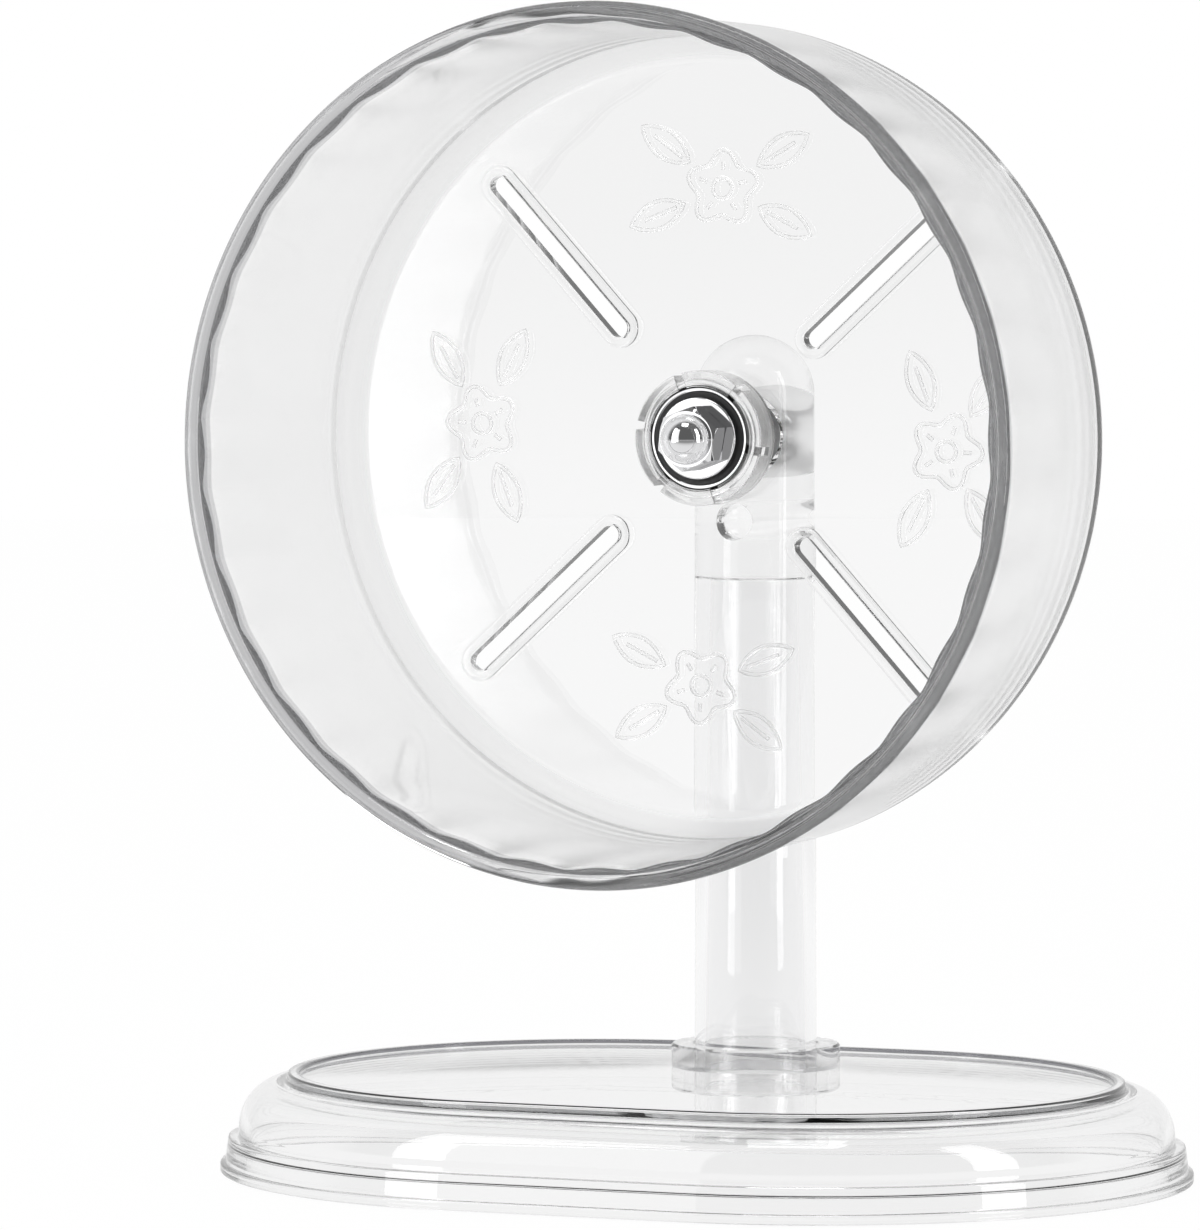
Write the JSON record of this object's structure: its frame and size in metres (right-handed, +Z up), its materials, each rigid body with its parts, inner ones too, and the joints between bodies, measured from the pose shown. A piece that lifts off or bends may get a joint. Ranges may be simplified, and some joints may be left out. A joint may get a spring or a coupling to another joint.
{
  "type": "hamster wheel",
  "caption": "Clear hamster wheel: a drum open at the front that spins on a ball bearing, carried by a domed post on an oval base.",
  "frame": {"origin": "on the floor under the middle of the oval base", "axes": "+Z up, +X along the base's long side, -Y out of the open front of the drum; the axle runs along Y"},
  "size_m": [0.2426, 0.1854, 0.2855],
  "materials": {
    "clear_plastic": "clear, glossy moulded plastic",
    "bright_plate": "bright polished plating",
    "bearing_steel": "ground steel",
    "seal_rubber": "matte black rubber",
    "cage_nylon": "matte moulded plastic"
  },
  "bodies": {
    "stand": {"base": "clear_plastic", "post": "clear_plastic", "axle_bush": "bright_plate", "axle": "bearing_steel", "axle_spacer": "bearing_steel", "nut_washer": "bright_plate", "dome_nut": "bright_plate", "bearing_inner_race": "bright_plate"},
    "wheel": {"wheel_drum": "clear_plastic", "bearing_retainer": "clear_plastic", "bearing_outer_race": "bright_plate", "bearing_seal_front": "seal_rubber", "bearing_seal_rear": "seal_rubber"},
    "ball_set": {"bearing_cage": "cage_nylon", "bearing_ball_1": "bearing_steel", "bearing_ball_2": "bearing_steel", "bearing_ball_3": "bearing_steel", "bearing_ball_4": "bearing_steel", "bearing_ball_5": "bearing_steel", "bearing_ball_6": "bearing_steel", "bearing_ball_7": "bearing_steel"}
  },
  "joints": [
    {"name": "wheel_spin", "type": "hinge", "parent": "stand", "child": "wheel", "pos_m": [0, 0, 0.1805], "axis": [0, 1, 0], "continuous": true},
    {"name": "ball_set_orbit", "type": "hinge", "parent": "stand", "child": "ball_set", "pos_m": [0, 0, 0.1805], "axis": [0, 1, 0], "continuous": true}
  ],
  "couplings": [
    {"joint": "ball_set_orbit", "follows": "wheel_spin", "ratio": 0.6301}
  ]
}
